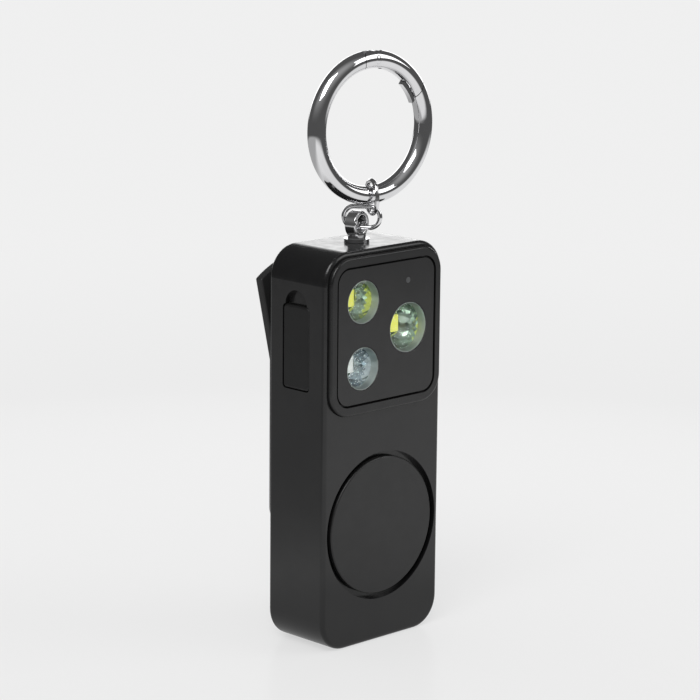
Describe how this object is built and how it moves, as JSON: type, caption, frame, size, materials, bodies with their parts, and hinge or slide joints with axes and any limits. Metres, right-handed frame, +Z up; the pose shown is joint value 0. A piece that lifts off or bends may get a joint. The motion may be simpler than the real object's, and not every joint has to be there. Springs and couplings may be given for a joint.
{
  "type": "personal safety alarm",
  "caption": "Slim upright personal alarm with a framed lamp window, a round sounder, a pull pin with links to a spring-gate key ring, a side port cover and a spring clip.",
  "frame": {"origin": "centre of the flat bottom end of the housing", "axes": "+Z up to the key ring, -Y out of the front with the lamps, +X to the right as the front is seen"},
  "size_m": [0.0345, 0.0255, 0.1236],
  "materials": {
    "black_plastic": "satin",
    "bezel_black": "satin",
    "window_black": "gloss",
    "clear_lens": "clear",
    "bright_cup": "bright",
    "lamp_chip": "satin",
    "circuit_board": "satin",
    "moulded_black": "matte",
    "contact_brass": "satin",
    "white_ceramic": "matte",
    "cell_foil": "satin",
    "tape": "matte",
    "zinc_steel": "satin",
    "socket_plastic": "matte",
    "bright_chrome": "mirror",
    "black_rubber": "matte",
    "clip_black": "satin"
  },
  "bodies": {
    "housing": {"battery_cell": "cell_foil", "battery_tape": "tape", "board_header": "moulded_black", "clip_pin": "zinc_steel", "clip_spring": "zinc_steel", "contact_leaves": "contact_brass", "control_chip": "moulded_black", "front_cover": "black_plastic", "housing_screws": "zinc_steel", "indicator_led": "lamp_chip", "indicator_pipe": "clear_lens", "led_board": "circuit_board", "led_lower": "lamp_chip", "led_middle": "lamp_chip", "led_upper": "lamp_chip", "lens_lower": "clear_lens", "lens_middle": "clear_lens", "lens_upper": "clear_lens", "light_bezel": "bezel_black", "light_window": "window_black", "main_board": "circuit_board", "main_shell": "black_plastic", "piezo_ceramic": "white_ceramic", "piezo_plate": "contact_brass", "pin_socket": "socket_plastic", "port_shell": "zinc_steel", "port_tongue": "moulded_black", "reflector_lower": "bright_cup", "reflector_middle": "bright_cup", "reflector_upper": "bright_cup", "sounder_capsule": "moulded_black", "sounder_cover": "black_plastic", "torch_switch": "moulded_black"},
    "pull_pin": {"pull_pin": "bright_chrome"},
    "lower_link": {"lower_link": "bright_chrome"},
    "upper_link": {"upper_link": "bright_chrome"},
    "key_ring": {"key_ring": "bright_chrome", "gate_rivet": "bright_chrome"},
    "ring_gate": {"ring_gate": "bright_chrome"},
    "clip_lever": {"clip_lever": "clip_black"},
    "port_cover": {"port_cover": "black_rubber"},
    "torch_button": {"torch_button": "black_plastic"}
  },
  "joints": [
    {"name": "pin_pull", "type": "slide", "parent": "housing", "child": "pull_pin", "axis": [0, 0, 1], "range_m": [0, 0.012]},
    {"name": "lower_link_swing", "type": "hinge", "parent": "pull_pin", "child": "lower_link", "pos_m": [0, 0, 0.0877], "axis": [0.2079, -0.9781, 0], "range_deg": [-25, 25]},
    {"name": "upper_link_swing", "type": "hinge", "parent": "lower_link", "child": "upper_link", "pos_m": [0.00178, -0.00254, 0.0914], "axis": [0.5736, -0.8192, 0], "range_deg": [-10, 30]},
    {"name": "key_ring_swing", "type": "hinge", "parent": "upper_link", "child": "key_ring", "pos_m": [0.00178, -0.00254, 0.0939], "axis": [0.9945, -0.1045, 0], "range_deg": [-30, 30]},
    {"name": "gate_open", "type": "hinge", "parent": "key_ring", "child": "ring_gate", "pos_m": [0.00177, -0.00254, 0.12189], "axis": [0.1045, 0.9945, 0], "range_deg": [0, 20], "stiffness_Nm_per_rad": 0.01, "springref_deg": -28.65},
    {"name": "clip_press", "type": "hinge", "parent": "housing", "child": "clip_lever", "pos_m": [0, 0.0065, 0.06], "axis": [1, 0, 0], "range_deg": [0, 13], "stiffness_Nm_per_rad": 0.15, "springref_deg": -20.05, "deforming": ["clip_spring"]},
    {"name": "port_cover_open", "type": "hinge", "parent": "housing", "child": "port_cover", "pos_m": [-0.01645, 0.00015, 0.05565], "axis": [0, -1, 0], "range_deg": [0, 90]},
    {"name": "torch_button_press", "type": "slide", "parent": "housing", "child": "torch_button", "axis": [-1, 0, 0], "range_m": [0, 0.0004], "stiffness_N_per_m": 400, "springref_m": -0.002}
  ]
}
